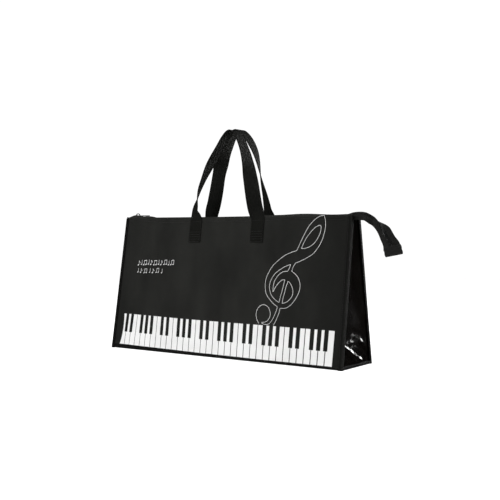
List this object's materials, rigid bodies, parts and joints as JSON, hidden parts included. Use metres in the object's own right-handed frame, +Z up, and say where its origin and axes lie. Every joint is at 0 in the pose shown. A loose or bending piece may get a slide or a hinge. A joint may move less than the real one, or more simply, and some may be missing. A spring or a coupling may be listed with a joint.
{
  "type": "zipped music tote bag",
  "caption": "Wide black zipped tote for sheet music with leaning panels, glossy end gussets, two webbing handles, a free zip tail and a printed keyboard on the front.",
  "frame": {"origin": "centre of the flat base that the bag stands on", "axes": "+X along the bag's length towards the free zip tail, -Y to the printed front, +Z up"},
  "size_m": [0.5389, 0.1, 0.3768],
  "materials": {
    "panel_cloth": "matt fine plain weave",
    "gusset_vinyl": "wet-look coated cloth, soft creases",
    "binding_tape": "matt ribbed edging",
    "webbing": "ribbed polypropylene webbing, slight sheen",
    "zip_tape": "fine ribbed tape",
    "zip_teeth": "satin nylon coil",
    "zip_metal": "black enamel",
    "thread": "polyester thread",
    "white_print": "matt screen print",
    "base_board": "matt board"
  },
  "bodies": {
    "shell": {"bottom_panel": "panel_cloth", "front_panel": "panel_cloth", "back_panel": "panel_cloth", "right_gusset": "gusset_vinyl", "left_gusset": "gusset_vinyl", "front_right_binding": "binding_tape", "back_right_binding": "binding_tape", "front_left_binding": "binding_tape", "back_left_binding": "binding_tape", "right_foot_binding": "binding_tape", "left_foot_binding": "binding_tape", "front_foot_strip": "panel_cloth", "back_foot_strip": "panel_cloth", "front_top_hem": "panel_cloth", "back_top_hem": "panel_cloth", "base_board": "base_board", "keyboard_print": "white_print", "front_zip_tape": "zip_tape", "back_zip_tape": "zip_tape", "front_teeth_row": "zip_teeth", "back_teeth_row": "zip_teeth", "zip_top_stops": "zip_metal", "front_handle_left_end": "webbing", "front_handle_right_end": "webbing", "back_handle_left_end": "webbing", "back_handle_right_end": "webbing", "front_handle_stitching": "thread", "back_handle_stitching": "thread", "front_hem_stitching": "thread", "back_hem_stitching": "thread"},
    "front_handle": {"front_handle_loop": "webbing"},
    "back_handle": {"back_handle_loop": "webbing"},
    "slider": {"zip_slider": "zip_metal"},
    "pull": {"zip_pull": "zip_metal"},
    "tail": {"tail_front_tape": "zip_tape", "tail_back_tape": "zip_tape", "tail_teeth": "zip_teeth", "tail_end_tab": "zip_tape"}
  },
  "joints": [
    {"name": "front_handle_fold", "type": "hinge", "parent": "shell", "child": "front_handle", "pos_m": [0, -0.0167, 0.2354], "axis": [1, 0, 0], "range_deg": [-2, 150]},
    {"name": "back_handle_fold", "type": "hinge", "parent": "shell", "child": "back_handle", "pos_m": [0, 0.0167, 0.2354], "axis": [-1, 0, 0], "range_deg": [-2, 150]},
    {"name": "zip_slide", "type": "slide", "parent": "shell", "child": "slider", "axis": [1, 0, 0], "range_m": [0, 0.392], "deforming": ["front_teeth_row", "back_teeth_row"]},
    {"name": "pull_flip", "type": "hinge", "parent": "slider", "child": "pull", "pos_m": [-0.213, 0, 0.23615], "axis": [0, -1, 0], "range_deg": [0, 172]},
    {"name": "tail_flex", "type": "hinge", "parent": "shell", "child": "tail", "pos_m": [0.2318, 0, 0.232], "axis": [0, 1, 0], "range_deg": [-60, 25]}
  ]
}
